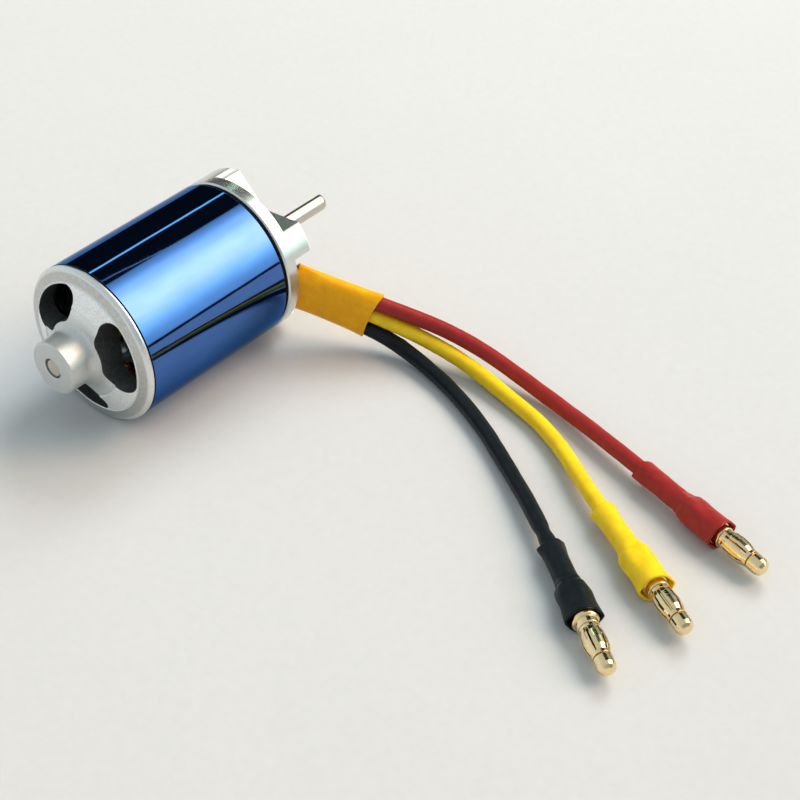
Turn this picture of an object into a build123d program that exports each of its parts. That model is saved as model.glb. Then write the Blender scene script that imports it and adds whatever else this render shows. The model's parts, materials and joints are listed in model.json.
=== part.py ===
from build123d import *
import math
import os

# Brushless outrunner motor lying on its side, in millimetres.
# Origin: centre of the mounting face, on the shaft axis. +X runs along the shaft towards the driven end,
# +Z is up. The rotor stands on the table with its axis 14 mm above it.
# Angles round the shaft are measured from +Y towards +Z.

os.makedirs("parts", exist_ok=True)

# ---- driving dimensions ---------------------------------------------------------------------------------
CAN_R = 14.0                 # outer radius of rotor and mount ring
TABLE_Z = -CAN_R
CAN_WALL = 1.15
CAN_FRONT, CAN_BACK = -37.55, -7.1

SHAFT_R = 1.585
SHAFT_FRONT, SHAFT_TIP = -46.35, 16.8
SHAFT_FLAT = 1.13            # distance of the ground flat from the axis
SHAFT_FLAT_START = 2.55
SHAFT_FLAT_ANGLE = 48.0
RELIEF_WIDTH, RELIEF_R = 0.65, 1.38    # run-out groove, which the flat begins in
TIP_ROUND = 0.8

RING_FRONT, RING_BACK = -6.4, -4.1
MOUNT_FACE = 0.0
ARM_HALF = 10.0              # half the angle one arm fills at the rim
ARM_CHAMFER = 0.35
NOTCH_SLOPE = 0.47
NOTCH_FILLET = 3.0
BOLT_R = 1.25                # tapped M3, minor radius
BOLT_CIRCLES = ((61.5, 9.5), (241.5, 9.5), (151.5, 8.0), (331.5, 8.0))

TUBE_R = 5.0
TUBE_FRONT = -33.8
TUBE_BORE = 3.3
BEARING_R, BEARING_W = 3.97, 3.57
REAR_BEARING_X = TUBE_FRONT            # bell end, start of the bearing
FRONT_BEARING_X = -4.6                 # mount end, start of the bearing
BALL_R, BALL_PITCH_R, BALLS = 0.70, 2.78, 7
RACE_GAP = 0.02

STACK_FRONT, STACK_BACK = -31.5, -11.5
STATOR_R, SLOTS = 11.0, 12
YOKE_R, TOOTH_W, TIP_T = 6.9, 1.8, 0.75
SLOT_OPENING = 1.3
MAGNETS, MAGNET_T, MAGNET_FRONT, MAGNET_BACK = 14, 1.5, -33.0, -10.0

HUB_R, HUB_FRONT = 4.7, -46.6
HUB_ROOT, HUB_FILLET = -41.65, 1.9
TURNED_R = 8.2               # the web is turned smooth inside this radius and blasted outside it
WINDOW_CENTRES = (45.0, 165.0, 285.0)
WINDOW_OUT, WINDOW_OUT_HALF = 11.5, 44.0   # radius and half angle of the window's outer edge
WINDOW_IN, WINDOW_IN_HALF = 5.75, 29.0
WINDOW_ROUND = 2.0

LEAD_R = 1.35
BOOT_START = 11.3            # heat-shrink over the wire, ahead of the solder cup


# ---- helpers --------------------------------------------------------------------------------------------
def turned(*points):
    """Closed profile of (x, radius) points turned round the shaft axis."""
    return revolve(make_face(Polyline(*points, close=True)), Axis.X)


def ring(x0, x1, outer, inner):
    return turned((x0, inner), (x1, inner), (x1, outer), (x0, outer))


def round_x(angle, shape):
    return Rot(X=angle) * shape


def plate(face_in_yz, x0, x1):
    """Face drawn with its first axis along +Y and its second along +Z, extruded from x0 to x1."""
    return extrude(Plane(origin=(x0, 0, 0), x_dir=(0, 1, 0), z_dir=(1, 0, 0)) * face_in_yz, x1 - x0)


def polar(radius, angle):
    return radius * math.cos(math.radians(angle)), radius * math.sin(math.radians(angle))


def save(name, shape):
    shape.label = name
    export_step(shape, "parts/" + name + ".step")
    print(name, "solids", len(shape.solids()), "volume", round(shape.volume, 1))


def group(shapes):
    solids = []
    for shape in shapes:
        solids += shape.solids()
    return Compound(children=solids)


# ---- mount: back plate, four arms, bearing tube ---------------------------------------------------------
mount = turned((TUBE_FRONT, 0), (TUBE_FRONT, TUBE_R), (RING_FRONT - 1.6, TUBE_R), (RING_FRONT, TUBE_R + 1.6),
               (RING_FRONT, CAN_R - 0.25), (RING_FRONT + 0.25, CAN_R), (MOUNT_FACE - ARM_CHAMFER, CAN_R),
               (MOUNT_FACE, CAN_R - ARM_CHAMFER), (MOUNT_FACE, 0))


def notch(edge_a, edge_b):
    """V notch with a rounded root between two arms, from the rim at edge_a round to the rim at edge_b."""
    half = (edge_b - edge_a) / 2
    along, across = polar(CAN_R, half)
    root = along - across * NOTCH_SLOPE
    shape = make_face(Polyline((root, 0), (along, across), (along + 6, across), (along + 6, -across),
                               (along, -across), close=True))
    shape = fillet(shape.vertices().sort_by(Axis.X)[0], NOTCH_FILLET)
    return round_x((edge_a + edge_b) / 2, plate(shape, RING_BACK, MOUNT_FACE + 1))


ARM_A, ARM_B, ARM_C, ARM_D = 61.5, 151.5, 241.5, 331.5
ARM_A_WIDE = 76.3            # the top arm is cut wider on one side, with a small bevel
mount -= notch(ARM_A_WIDE, ARM_B - ARM_HALF)
mount -= notch(ARM_C + ARM_HALF, ARM_D - ARM_HALF)
mount -= notch(ARM_D + ARM_HALF, ARM_A - ARM_HALF + 360)
bevel_a, bevel_b = polar(CAN_R, 70.0), polar(13.6, 77.5)
mount -= plate(make_face(Polyline(bevel_a, bevel_b, (bevel_b[0], 16), (bevel_a[0], 16), close=True)),
               RING_BACK, MOUNT_FACE + 1)

# The notch the leads leave by has a flat root, and the plate under it a slot.
LEAD_NOTCH = (ARM_B + ARM_C) / 2
rim_along, rim_across = polar(CAN_R, 35.0)
lead_notch = make_face(Polyline((8.7, -5.7), (8.7, 5.7), (rim_along, rim_across), (18, rim_across),
                                (18, -rim_across), (rim_along, -rim_across), close=True))
lead_notch = fillet(lead_notch.vertices().sort_by(Axis.X)[:2], 1.2)
mount -= round_x(LEAD_NOTCH, plate(lead_notch, RING_BACK, MOUNT_FACE + 1))
lead_slot = Pos(10.9, -0.5) * RectangleRounded(2.5, 9.0, 0.9)
mount -= round_x(LEAD_NOTCH, plate(lead_slot, RING_FRONT - 1, RING_BACK + 1))

# Vents through the plate under the other three notches.
for centre in (108.9, 16.5, 286.5):
    vent = Pos(10.6, 0) * RectangleRounded(2.0, 5.0, 0.9)
    mount -= round_x(centre, plate(vent, RING_FRONT - 1, RING_BACK + 1))

for angle, radius in BOLT_CIRCLES:
    y, z = polar(radius, angle)
    mount -= Pos(0, y, z) * Rot(Y=-90) * Cylinder(BOLT_R, 20)
    mount -= Pos(MOUNT_FACE - 0.15, y, z) * Rot(Y=90) * Cone(BOLT_R, BOLT_R + 0.3, 0.3)

mount -= ring(TUBE_FRONT - 1, MOUNT_FACE + 1, TUBE_BORE, 0)
mount -= ring(TUBE_FRONT - 1, REAR_BEARING_X + BEARING_W, BEARING_R, 0)
mount -= ring(FRONT_BEARING_X, MOUNT_FACE + 1, BEARING_R, 0)
mount -= turned((MOUNT_FACE - 0.3, 0), (MOUNT_FACE - 0.3, BEARING_R), (MOUNT_FACE + 0.2, BEARING_R + 0.5),
                (MOUNT_FACE + 0.2, 0))
save("mount_base", mount)

# ---- stator core: twelve-slot stack ----------------------------------------------------------------------
stack_len = STACK_BACK - STACK_FRONT
core_face = Circle(YOKE_R) - Circle(TUBE_R)
tip_half = math.degrees((2 * math.pi * STATOR_R / SLOTS - SLOT_OPENING) / 2 / STATOR_R)
SHOE_R = STATOR_R - TIP_T


def tooth_shoe():
    """Arc-backed shoe at the end of one tooth, thinner at its two horns."""
    left_out, right_out = polar(STATOR_R, tip_half), polar(STATOR_R, -tip_half)
    left_in, right_in = polar(STATOR_R - 0.4, tip_half), polar(STATOR_R - 0.4, -tip_half)
    edge = [ThreePointArc(left_out, (STATOR_R, 0), right_out), Line(right_out, right_in),
            Line(right_in, (SHOE_R - 0.35, -TOOTH_W / 2)), Line((SHOE_R - 0.35, -TOOTH_W / 2),
                                                               (SHOE_R - 0.35, TOOTH_W / 2)),
            Line((SHOE_R - 0.35, TOOTH_W / 2), left_in), Line(left_in, left_out)]
    return make_face(edge)


one_tooth = Pos((YOKE_R + SHOE_R) / 2 - 0.1, 0) * Rectangle(SHOE_R - YOKE_R + 0.6, TOOTH_W) + tooth_shoe()
for i in range(SLOTS):
    core_face += Rot(Z=i * 360 / SLOTS) * one_tooth
save("stator_core", plate(core_face, STACK_FRONT, STACK_BACK))

# ---- slot insulators: a star-shaped end sheet at each end of the stack ------------------------------------
SHEET_T = 0.4
sheet_face = Circle(YOKE_R - 0.1) - Circle(TUBE_R + 0.05)
for i in range(SLOTS):
    sheet_face += Rot(Z=i * 360 / SLOTS) * (Pos((YOKE_R + SHOE_R) / 2 - 0.2, 0)
                                             * Rectangle(SHOE_R - YOKE_R + 0.5, TOOTH_W + 0.3))
save("insulator_front", plate(sheet_face, STACK_BACK, STACK_BACK + SHEET_T))
save("insulator_rear", plate(sheet_face, STACK_FRONT - SHEET_T, STACK_FRONT))

# ---- windings: one coil round each tooth ------------------------------------------------------------------
COIL_IN, COIL_OUT = 7.3, 9.75
coil_hole_w, coil_hole_l = TOOTH_W + 0.32, stack_len + 2 * SHEET_T + 0.1
coil_base_w, coil_base_l = 3.35, stack_len + 3.6
coil_plane = Plane(origin=((STACK_FRONT + STACK_BACK) / 2, COIL_IN, 0), x_dir=(1, 0, 0), z_dir=(0, 1, 0))
coil = extrude(coil_plane * RectangleRounded(coil_base_l, coil_base_w, 1.1), COIL_OUT - COIL_IN, taper=-12)
coil -= extrude(coil_plane * Rectangle(coil_hole_l, coil_hole_w), 3 * (COIL_OUT - COIL_IN), both=True)
coils = [round_x(i * 360 / SLOTS, coil) for i in range(SLOTS)]
save("windings", group(coils))

# ---- bearings ----------------------------------------------------------------------------------------------
OUTER_RACE_IN, INNER_RACE_OUT = 3.16, 2.40


def bearing(x0, name):
    """Outer race, inner race, balls and shields of one deep-groove bearing starting at x0."""
    x1, mid = x0 + BEARING_W, x0 + BEARING_W / 2
    groove = Pos(mid, BALL_PITCH_R) * Circle(BALL_R + RACE_GAP)
    outer_face = Pos(mid, (BEARING_R + OUTER_RACE_IN) / 2) * Rectangle(BEARING_W, BEARING_R - OUTER_RACE_IN)
    inner_face = Pos(mid, (INNER_RACE_OUT + SHAFT_R) / 2) * Rectangle(BEARING_W, INNER_RACE_OUT - SHAFT_R)
    save(name + "_outer_race", revolve(outer_face - groove, Axis.X))
    save(name + "_inner_race", revolve(inner_face - groove, Axis.X))
    balls = [round_x(i * 360 / BALLS, Pos(mid, BALL_PITCH_R, 0) * Sphere(BALL_R)) for i in range(BALLS)]
    save(name + "_balls", group(balls))
    shields = [ring(x0 + 0.15, x0 + 0.35, OUTER_RACE_IN, INNER_RACE_OUT + 0.06),
               ring(x1 - 0.35, x1 - 0.15, OUTER_RACE_IN, INNER_RACE_OUT + 0.06)]
    save(name + "_shields", group(shields))


bearing(FRONT_BEARING_X, "front_bearing")
bearing(REAR_BEARING_X, "rear_bearing")

# ---- shaft, clip, washer, spacer ---------------------------------------------------------------------------
CLIP_X, CLIP_T, CLIP_GROOVE_R = -0.62, 0.4, 1.25
relief_x = SHAFT_FLAT_START - RELIEF_WIDTH
tip_curve = [polar(TIP_ROUND, angle) for angle in (90, 67.5, 45, 22.5, 0)]
shaft = turned((SHAFT_FRONT, 0), (SHAFT_FRONT, SHAFT_R - 0.15), (SHAFT_FRONT + 0.15, SHAFT_R),
               (CLIP_X, SHAFT_R), (CLIP_X, CLIP_GROOVE_R), (CLIP_X + CLIP_T, CLIP_GROOVE_R),
               (CLIP_X + CLIP_T, SHAFT_R), (relief_x, SHAFT_R), (relief_x + 0.1, RELIEF_R),
               (SHAFT_FLAT_START, RELIEF_R), (SHAFT_FLAT_START, SHAFT_R),
               *[(SHAFT_TIP - TIP_ROUND + along, SHAFT_R - TIP_ROUND + out) for along, out in tip_curve],
               (SHAFT_TIP, 0))
flat_x = SHAFT_FLAT_START - RELIEF_WIDTH / 2
cut_length = SHAFT_TIP + 2 - flat_x
flat_cut = Pos(flat_x + cut_length / 2, SHAFT_FLAT + 1, 0) * Box(cut_length, 2, 6)
shaft -= round_x(SHAFT_FLAT_ANGLE, flat_cut)
GRUB_X, GRUB_SEAT = -43.7, 1.3
GRUB_ANGLES = (272.0, 332.0)
for angle in GRUB_ANGLES:
    shaft -= round_x(angle, Pos(GRUB_X, GRUB_SEAT + 1, 0) * Box(3.4, 2, 4))
save("shaft", shaft)

clip = ring(CLIP_X + 0.02, CLIP_X + CLIP_T - 0.02, 2.75, CLIP_GROOVE_R + 0.01)
clip -= round_x(200, Pos(CLIP_X, 2.2, 0) * Box(3, 4.4, 2.2))
save("retaining_clip", clip)
WASHER_X = FRONT_BEARING_X + BEARING_W
save("thrust_washer", ring(WASHER_X, CLIP_X, 2.3, SHAFT_R))
BELL_BOSS_X = -35.0
save("rotor_spacer", ring(BELL_BOSS_X, REAR_BEARING_X, 2.25, SHAFT_R))

# ---- bell: rim, three spokes, hub ---------------------------------------------------------------------------
RIM_X = -38.0
SPIGOT_R = CAN_R - CAN_WALL
bell = turned((HUB_FRONT, 1.9), (HUB_FRONT + 0.001, HUB_R - 0.3), (HUB_FRONT + 0.3, HUB_R),
              (HUB_ROOT, HUB_R), (-40.48, TURNED_R), (-40.62, TURNED_R + 0.1), (-39.45, 11.1),
              (-39.3, 11.45), (-39.0, 11.6), (-39.12, 11.85), (-38.6, 13.55), (RIM_X, CAN_R), (CAN_FRONT - 0.12, CAN_R), (CAN_FRONT, CAN_R - 0.12), (CAN_FRONT, SPIGOT_R),
              (-35.1, SPIGOT_R), (-35.1, 11.9), (-36.1, 11.5), (-36.9, 6.2), (-36.2, 3.4),
              (BELL_BOSS_X, 3.2), (BELL_BOSS_X, SHAFT_R), (HUB_FRONT + 0.3, SHAFT_R))


def circle_at(shape, x, radius):
    """The shape's circular edges round the shaft, at that place and radius."""
    return [edge for edge in shape.edges().filter_by(GeomType.CIRCLE)
            if abs(edge.radius - radius) < 0.01 and abs(edge.arc_center.X - x) < 0.01]


bell = fillet(circle_at(bell, HUB_ROOT, HUB_R), HUB_FILLET)
bell = fillet(circle_at(bell, -38.6, 13.55), 0.5)


def window_face():
    """Kidney-shaped window centred on the +Y direction."""
    outer = [polar(WINDOW_OUT, a) for a in (-WINDOW_OUT_HALF, 0, WINDOW_OUT_HALF)]
    inner = [polar(WINDOW_IN, a) for a in (WINDOW_IN_HALF, 0, -WINDOW_IN_HALF)]
    shape = make_face([ThreePointArc(*outer), Line(outer[2], inner[0]), ThreePointArc(*inner),
                       Line(inner[2], outer[0])])
    return fillet(shape.vertices(), WINDOW_ROUND)


for centre in WINDOW_CENTRES:
    bell -= round_x(centre, plate(window_face(), HUB_FRONT, CAN_FRONT + 4))
GRUB_R, GRUB_LEN = 1.45, 3.0
for angle in GRUB_ANGLES:
    bell -= round_x(angle, Pos(GRUB_X, 4, 0) * Rot(X=90) * Cylinder(GRUB_R, 8))
save("bell_cap", bell)

grub = Rot(X=-90) * Cylinder(GRUB_R, GRUB_LEN, align=(Align.CENTER, Align.CENTER, Align.MIN))
grub -= Pos(0, GRUB_LEN - 1.4, 0) * Rot(X=-90) * extrude(RegularPolygon(0.87, 6), 3)
grubs = [round_x(a, Pos(GRUB_X, GRUB_SEAT, 0) * grub) for a in GRUB_ANGLES]
save("grub_screws", group(grubs))

# ---- flux ring and magnets ------------------------------------------------------------------------------------
can_in = CAN_R - CAN_WALL
save("flux_ring", turned((CAN_FRONT, can_in), (CAN_FRONT, CAN_R - 0.12), (CAN_FRONT + 0.12, CAN_R),
                         (CAN_BACK - 0.2, CAN_R), (CAN_BACK, CAN_R - 0.2), (CAN_BACK, can_in)))
magnet_pitch = 360 / MAGNETS
magnet_half = magnet_pitch / 2 - 1.6
m_out = [polar(can_in, a) for a in (-magnet_half, 0, magnet_half)]
m_in = [polar(can_in - MAGNET_T, a) for a in (magnet_half, 0, -magnet_half)]
magnet = plate(make_face([ThreePointArc(*m_out), Line(m_out[2], m_in[0]), ThreePointArc(*m_in),
                          Line(m_in[2], m_out[0])]), MAGNET_FRONT, MAGNET_BACK)
save("magnets", group([round_x(i * magnet_pitch, magnet) for i in range(MAGNETS)]))

# ---- leads: routes are chosen by hand, start at the grommet and end in the solder cup ---------------------
ROUTES = {
    "red": [(-2.1, -12.0, -0.15), (5.0, -22.35, -4.9), (12.2, -36.9, -9.4), (11.7, -55.0, -12.6),
            (7.2, -72.4, -11.4), (2.9, -89.6, -11.4)],
    "yellow": [(-2.4, -10.9, -2.7), (5.2, -21.6, -7.7), (9.6, -36.5, -11.6), (7.6, -49.5, -12.6),
               (4.6, -61.5, -12.6), (-4.2, -75.4, -11.4), (-11.4, -89.2, -11.4)],
    "black": [(-2.7, -9.8, -5.25), (5.25, -20.9, -10.6), (5.1, -34.6, -12.6), (0.4, -48.6, -12.6),
              (-6.6, -61.0, -12.6), (-15.0, -74.2, -11.4), (-23.5, -86.4, -11.4)],
}


def bend_radii(points):
    """Radius at each inner point: 0.45 of the shorter run beside it, over the tangent of half the turn."""
    radii = []
    for a, b, c in zip(points, points[1:], points[2:]):
        run_in, run_out = Vector(*b) - Vector(*a), Vector(*c) - Vector(*b)
        turn = math.radians(run_in.get_angle(run_out))
        radii.append(0.45 * min(run_in.length, run_out.length) / math.tan(turn / 2))
    return radii


def lead_path(points):
    return FilletPolyline(*points, radius=bend_radii(points))


def tube_along(path, radius):
    start = Plane(origin=path @ 0, z_dir=path % 0)
    return sweep(start * Circle(radius), path)


paths = {}
for colour, points in ROUTES.items():
    path = lead_path(points)
    lead = tube_along(path, LEAD_R)
    paths[colour] = path
    print(colour, "length", round(path.length, 1), "radii", [round(r, 1) for r in bend_radii(points)],
          "volume ratio", round(lead.volume / (path.length * math.pi * LEAD_R ** 2), 4))
    save("lead_" + colour, lead)

# ---- heat-shrink sleeve over the three leads where they leave the motor --------------------------------------
SLEEVE_LEN, SLEEVE_WALL = 14.5, 0.42


def row_section(distance, wall):
    """Stadium round the three leads at one distance along them."""
    red, middle, black = (paths[c].position_at(distance / paths[c].length)
                          for c in ("red", "yellow", "black"))
    facing = paths["yellow"].tangent_at(distance / paths["yellow"].length)
    across = black - red
    plane = Plane(origin=(red + black) * 0.5, x_dir=across, z_dir=facing)
    return plane * SlotCenterToCenter(across.length, 2 * (LEAD_R + wall))


sleeve = loft([row_section(SLEEVE_LEN * i / 4, SLEEVE_WALL) for i in range(5)])
for path in paths.values():
    sleeve -= tube_along(path, LEAD_R + 0.03)
save("lead_sleeve", sleeve)

# ---- grommet in the slot, and the winding tails behind it ------------------------------------------------------
block = round_x(LEAD_NOTCH, plate(Pos(10.9, -0.5) * RectangleRounded(2.46, 8.96, 0.88), RING_FRONT, RING_BACK))
room = round_x(LEAD_NOTCH, plate(Pos(13.75, 0) * Rectangle(10.0, 11.2), RING_BACK, MOUNT_FACE))
stem_face = Pos(tuple((paths["yellow"] % 0) * -0.12)) * row_section(0, 0.0)
stem = extrude(stem_face, -4.6) & room
save("lead_grommet", block + stem)

TAIL_R = 0.8
tails = []
for across in (-3.2, -0.5, 2.2):
    end = Vector(RING_FRONT, 10.9, across)
    start = Vector(STACK_BACK + 2.3, 9.3, across * 0.8)
    run = end - start
    plane = Plane(origin=tuple(start), z_dir=tuple(run))
    tails.append(round_x(LEAD_NOTCH, extrude(plane * Circle(TAIL_R), run.length + 1)
                         & ring(STACK_BACK + 2.3, RING_FRONT, CAN_R, 0)))
save("phase_tails", group(tails))

# ---- boots and bullet connectors --------------------------------------------------------------------------------
CUP_R, CUP_LEN, CUP_WALL = 2.1, 6.4, 0.45
BOOT_END = {"red": 6.9, "yellow": 6.9, "black": 5.6}


def lathe(points):
    """Closed profile of (distance, radius) points turned round the local axis, +Z."""
    return revolve(make_face(Plane.XZ * Polyline(*[(r, z) for z, r in points], close=True)), Axis.Z)


def boot_shape(start, end):
    outer = [(-start, LEAD_R + 0.38), (-2.8, LEAD_R + 0.42), (-1.9, LEAD_R + 0.62), (-0.5, CUP_R + 0.3),
             (2.2, CUP_R + 0.4), (end - 0.2, CUP_R + 0.42), (end, CUP_R + 0.3)]
    inner = [(end, CUP_R + 0.02), (-0.7, CUP_R + 0.02), (-1.4, LEAD_R + 0.3), (-2.2, LEAD_R + 0.02),
             (-6.0, LEAD_R + 0.02), (-start, LEAD_R + 0.1)]
    return lathe(outer + inner)


PIN_BASE, COLLAR_R = CUP_LEN - 0.4, 1.75
CAGE_LEN, CAGE_BULGE = 5.6, 1.92
PIN_END = PIN_BASE + 10.2
pin_shape = lathe([(-0.5, 0), (-0.5, CUP_R - 0.25), (-0.25, CUP_R), (CUP_LEN - 0.25, CUP_R),
                   (CUP_LEN, CUP_R - 0.2), (CUP_LEN, COLLAR_R), (PIN_BASE + 1.5, COLLAR_R),
                   (PIN_BASE + 1.6, COLLAR_R - 0.1), (PIN_BASE + 1.6, 1.0), (PIN_END - 2.6, 1.0),
                   (PIN_END - 2.6, 1.38),
                   (PIN_END - 2.4, 1.5), (PIN_END - 0.9, 1.5), (PIN_END - 0.35, 1.3), (PIN_END, 0.8),
                   (PIN_END, 0)])
CUP_BORE = LEAD_R + 0.02
pin_shape -= lathe([(-1.5, 0), (-1.5, CUP_BORE), (0.0, CUP_BORE), (0.0, 0)])

LEAVES, CAGE_T = 6, 0.22
cage_start, cage_end = PIN_BASE + 1.7, PIN_END - 2.7
cage_mid = (cage_start + cage_end) / 2


def cage_line(offset):
    return [(cage_start, 1.42 + offset), (cage_start + 0.5, 1.42 + offset), (cage_start + 1.4, 1.60 + offset),
            (cage_mid, CAGE_BULGE - CAGE_T + offset), (cage_end - 1.5, 1.58 + offset),
            (cage_end - 0.6, 1.32 + offset), (cage_end, 1.32 + offset)]


cage_shape = lathe(cage_line(CAGE_T) + cage_line(0.0)[::-1])
slit = Pos(1.6, 0, cage_mid) * Box(2, 0.42, cage_end - cage_start - 1.3)
for i in range(LEAVES):
    cage_shape -= Rot(Z=i * 360 / LEAVES) * slit

for colour, points in ROUTES.items():
    last, before = Vector(*points[-1]), Vector(*points[-2])
    seat = Location(Plane(origin=tuple(last), z_dir=tuple(last - before)))
    save("boot_" + colour, seat * boot_shape(BOOT_START - (1.0 if colour == "black" else 0.0),
                                             BOOT_END[colour]))
    save("bullet_pin_" + colour, seat * pin_shape)
    save("bullet_cage_" + colour, seat * cage_shape)
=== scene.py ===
import json
import math

import bpy
from mathutils import Matrix, Vector, noise


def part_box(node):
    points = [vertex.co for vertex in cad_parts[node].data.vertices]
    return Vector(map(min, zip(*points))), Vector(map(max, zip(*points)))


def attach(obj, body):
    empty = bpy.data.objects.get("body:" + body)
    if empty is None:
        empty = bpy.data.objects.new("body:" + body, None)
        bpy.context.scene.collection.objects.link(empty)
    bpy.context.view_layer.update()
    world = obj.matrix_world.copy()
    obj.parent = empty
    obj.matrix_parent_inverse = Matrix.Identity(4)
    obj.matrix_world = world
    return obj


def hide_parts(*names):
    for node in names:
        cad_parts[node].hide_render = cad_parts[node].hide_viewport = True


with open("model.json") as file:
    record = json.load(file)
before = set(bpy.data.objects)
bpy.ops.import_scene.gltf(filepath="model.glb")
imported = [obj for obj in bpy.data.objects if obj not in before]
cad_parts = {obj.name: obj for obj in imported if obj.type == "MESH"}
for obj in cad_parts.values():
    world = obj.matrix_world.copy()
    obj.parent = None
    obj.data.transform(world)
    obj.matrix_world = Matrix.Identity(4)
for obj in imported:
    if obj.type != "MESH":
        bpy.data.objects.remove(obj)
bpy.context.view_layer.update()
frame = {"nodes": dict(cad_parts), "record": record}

MM = 0.001
TABLE = -14.0 * MM
scene = bpy.context.scene
scene.view_settings.view_transform = "Standard"
scene.view_settings.look = "None"

# ---- camera ----------------------------------------------------------------------------------------------
CAMERA_AT = Vector((-0.1959, -0.2006, 0.1943))
CAMERA_TO = Vector((-0.01656, -0.0470, 0.0))
SENSOR_WIDTH, FOCAL_LENGTH = 36.0, 88.26
camera_data = bpy.data.cameras.new("camera")
camera_data.sensor_width = SENSOR_WIDTH
camera_data.lens = FOCAL_LENGTH
camera_data.clip_start, camera_data.clip_end = 0.01, 20.0
camera = bpy.data.objects.new("camera", camera_data)
scene.collection.objects.link(camera)
camera.location = CAMERA_AT
camera.rotation_mode = "QUATERNION"
camera.rotation_quaternion = (CAMERA_TO - CAMERA_AT).to_track_quat("-Z", "Y")
scene.camera = camera


# ---- mesh helpers ----------------------------------------------------------------------------------------
def add_mesh(name, vertices, faces, smooth=True):
    mesh = bpy.data.meshes.new(name)
    mesh.from_pydata([tuple(v) for v in vertices], [], faces)
    mesh.validate()
    mesh.update()
    mesh.polygons.foreach_set("use_smooth", [smooth] * len(mesh.polygons))
    obj = bpy.data.objects.new(name, mesh)
    scene.collection.objects.link(obj)
    return obj


def ring_faces(rings, count, start=0, closed=False):
    """Quads between successive rings of count vertices, the first ring again after the last if closed."""
    faces = []
    for i in range(rings if closed else rings - 1):
        a, b = start + i * count, start + ((i + 1) % rings) * count
        for j in range(count):
            k = (j + 1) % count
            faces.append((a + j, a + k, b + k, b + j))
    return faces


def wall_mesh(name, outer, inner, count):
    """Open tube with a wall: outer rings of count vertices, as many inner ones, and rims to join them."""
    shift = len(outer)
    rings = shift // count
    faces = ring_faces(rings, count)
    faces += [tuple(reversed(f)) for f in ring_faces(rings, count, shift)]
    for edge in (0, shift - count):
        for j in range(count):
            k = (j + 1) % count
            quad = (edge + j, edge + k, shift + edge + k, shift + edge + j)
            faces.append(tuple(reversed(quad)) if edge == 0 else quad)
    return add_mesh(name, outer + inner, faces)


def smooth_step(low, high, value):
    t = min(max((value - low) / (high - low), 0.0), 1.0)
    return t * t * (3 - 2 * t)


def between(pairs, at):
    """Value at a place along a list of (place, value) pairs, eased between them."""
    if at <= pairs[0][0]:
        return pairs[0][1]
    for (x0, y0), (x1, y1) in zip(pairs, pairs[1:]):
        if at <= x1:
            return y0 + (y1 - y0) * smooth_step(x0, x1, at)
    return pairs[-1][1]


class Line:
    """A lead's centre line: the spline's own points, with a straight continuation past its end."""

    def __init__(self, points):
        self.points = points
        self.along = [0.0]
        for a, b in zip(points, points[1:]):
            self.along.append(self.along[-1] + (b - a).length)
        self.length = self.along[-1]

    def at(self, distance):
        """Point and heading at a distance from the start."""
        if distance >= self.length:
            heading = (self.points[-1] - self.points[-2]).normalized()
            return self.points[-1] + heading * (distance - self.length), heading
        if distance <= 0:
            heading = (self.points[1] - self.points[0]).normalized()
            return self.points[0] + heading * distance, heading
        i = max(k for k, s in enumerate(self.along) if s <= distance)
        i = min(i, len(self.points) - 2)
        run = self.points[i + 1] - self.points[i]
        before = self.points[max(i - 1, 0)]
        after = self.points[min(i + 2, len(self.points) - 1)]
        t = (distance - self.along[i]) / run.length
        first, second = self.points[i + 1] - before, after - self.points[i]
        return self.points[i] + run * t, first.lerp(second, t).normalized()


def cross_axes(heading):
    """Two directions square to a heading: level with the table, and the other one up."""
    side = heading.cross(Vector((0, 0, 1))).normalized()
    return side, side.cross(heading).normalized()


def skin(line, stations, count, radius):
    """Rings round a line. radius(station, angle) gives how far out, and angle 0 is level with the table."""
    vertices = []
    for s in stations:
        point, heading = line.at(s)
        side, up = cross_axes(heading)
        for j in range(count):
            angle = 2 * math.pi * j / count
            r = radius(s, angle)
            vertices.append(point + (side * math.cos(angle) + up * math.sin(angle)) * r)
    return vertices


# ---- leads: the route points are chosen; they start at the grommet and end in the solder cup -------------
ROUTES = {
    "red": [(-2.1, -12.0, -0.15), (5.0, -22.35, -4.9), (12.2, -36.9, -9.4), (11.7, -55.0, -12.6),
            (7.2, -72.4, -11.4), (2.9, -89.6, -11.4)],
    "yellow": [(-2.4, -10.9, -2.7), (5.2, -21.6, -7.7), (9.6, -36.5, -11.6), (7.6, -49.5, -12.6),
               (4.6, -61.5, -12.6), (-4.2, -75.4, -11.4), (-11.4, -89.2, -11.4)],
    "black": [(-2.7, -9.8, -5.25), (5.25, -20.9, -10.6), (5.1, -34.6, -12.6), (0.4, -48.6, -12.6),
              (-6.6, -61.0, -12.6), (-15.0, -74.2, -11.4), (-23.5, -86.4, -11.4)],
}
LEAD_R = 1.35 * MM
LEAD_SIDES = 32
LEAD_STEP = 0.3 * MM
CURVE_STEPS = 24             # points for each span of a route
LUMPS = {"red": 0.034, "yellow": 0.034, "black": 0.055}      # share of the radius
FOLD_AT, FOLD_LENGTH, FOLD_SIDE = 21.6 * MM, 1.1 * MM, 3.4   # the black tubing's fold, its side in radians
PINCH_AHEAD, PINCH_LENGTH = 3.2 * MM, 1.2 * MM               # its pinch, measured back from the boot
SLEEVE_LENGTH = 14.5 * MM
BOOT_START = {"red": 11.3 * MM, "yellow": 11.3 * MM, "black": 10.3 * MM}
BOOT_END = {"red": 6.9 * MM, "yellow": 6.9 * MM, "black": 5.6 * MM}
SEEDS = {"red": 3.1, "yellow": 11.7, "black": 23.9}


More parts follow.
